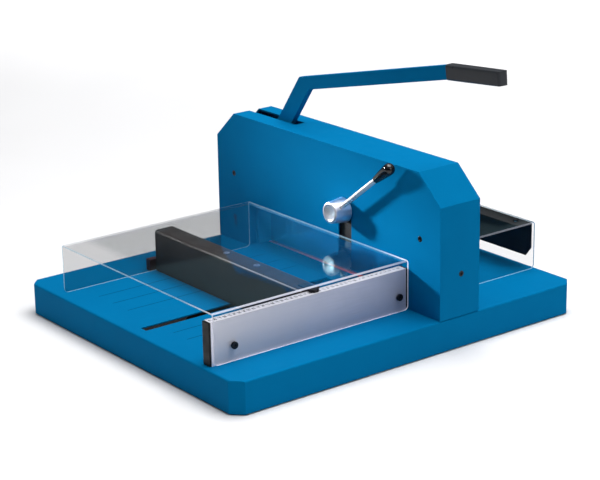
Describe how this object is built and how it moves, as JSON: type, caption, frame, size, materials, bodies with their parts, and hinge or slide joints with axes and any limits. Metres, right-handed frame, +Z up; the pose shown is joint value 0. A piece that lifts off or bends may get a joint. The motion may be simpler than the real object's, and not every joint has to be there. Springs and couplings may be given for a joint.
{
  "type": "stack paper cutter",
  "caption": "Lever-driven stack paper cutter: blue table and portal housing with a geared knife, rack clamp, sliding stop bar, side scale and clear covers.",
  "frame": {"origin": "centre of the underside of the anti-slip mat, on the surface that it stands on", "axes": "+X along the cut to the lever's grip, +Y towards the hinged cover, +Z up"},
  "size_m": [0.7637, 0.782, 0.5215],
  "materials": {
    "rubber_mat": "moulded, matte",
    "inner_steel": "machined, oiled",
    "blue_paint": "fine powder coat, satin",
    "dark_paint": "fine powder coat, satin",
    "black_paint": "powder coat, matte",
    "knife_steel": "ground",
    "red_plastic": "extruded",
    "gauge_aluminium": "anodised extrusion",
    "white_plastic": "printed strip",
    "black_plastic": "moulded",
    "grip_black": "polished",
    "grip_rubber": "moulded, satin",
    "clear_acrylic": "clear sheet, polished edges",
    "hub_chrome": "bright",
    "bronze": "turned",
    "dark_red": "moulded",
    "black_screw": "blackened"
  },
  "bodies": {
    "frame": {"anti_slip_mat": "rubber_mat", "floor_plate": "inner_steel", "table": "blue_paint", "cutting_bed": "blue_paint", "cutting_stick": "red_plastic", "gauge_rail": "dark_paint", "side_gauge": "gauge_aluminium", "gauge_end_caps": "black_plastic", "scale_strip": "white_plastic", "front_guard": "clear_acrylic", "guard_screws": "black_screw", "guard_block": "dark_red", "housing": "blue_paint", "left_side_frame": "blue_paint", "right_side_frame": "blue_paint", "housing_screws": "black_screw", "pivot_brackets": "inner_steel", "pivot_shaft": "inner_steel", "pivot_spacers": "bronze", "clamp_bearing": "black_paint", "hinge_brackets": "black_paint", "hinge_pins": "inner_steel"},
    "lever": {"cutting_lever": "blue_paint", "lever_grip": "grip_rubber"},
    "knife_slide": {"knife_carrier": "inner_steel", "knife_rack": "inner_steel", "knife": "knife_steel", "knife_bolts": "black_screw"},
    "clamp_handle": {"clamp_hub": "hub_chrome", "clamp_pinion": "inner_steel", "clamp_rod": "hub_chrome", "clamp_grip": "grip_black"},
    "clamp": {"clamp_beam": "dark_paint", "clamp_rack": "inner_steel"},
    "paper_stop": {"stop_bar": "dark_paint", "stop_carriage": "inner_steel", "stop_screws": "black_screw", "stop_pointer": "black_plastic"},
    "far_cover": {"cover_hood": "clear_acrylic", "stop_plate": "black_paint", "cover_knuckles": "black_paint", "cover_screws": "black_screw"}
  },
  "joints": [
    {"name": "lever_hinge", "type": "hinge", "parent": "frame", "child": "lever", "pos_m": [-0.281, 0.104, 0.165], "axis": [0, -1, 0], "range_deg": [0, 35]},
    {"name": "knife_travel", "type": "slide", "parent": "frame", "child": "knife_slide", "axis": [0, 0, 1], "range_m": [0, 0.0615]},
    {"name": "clamp_hinge", "type": "hinge", "parent": "frame", "child": "clamp_handle", "pos_m": [0.0695, 0.033, 0.207], "axis": [0, -1, 0], "range_deg": [-10, 140]},
    {"name": "clamp_travel", "type": "slide", "parent": "frame", "child": "clamp", "axis": [0, 0, 1], "range_m": [-0.081, 0.006]},
    {"name": "stop_slide", "type": "slide", "parent": "frame", "child": "paper_stop", "axis": [0, 1, 0], "range_m": [-0.195, 0.17]},
    {"name": "cover_hinge", "type": "hinge", "parent": "frame", "child": "far_cover", "pos_m": [0, 0.1565, 0.1618], "axis": [1, 0, 0], "range_deg": [0, 90]}
  ],
  "couplings": [
    {"joint": "knife_travel", "follows": "lever_hinge", "m_per_rad": 0.1},
    {"joint": "clamp_travel", "follows": "clamp_hinge", "m_per_rad": -0.033}
  ]
}
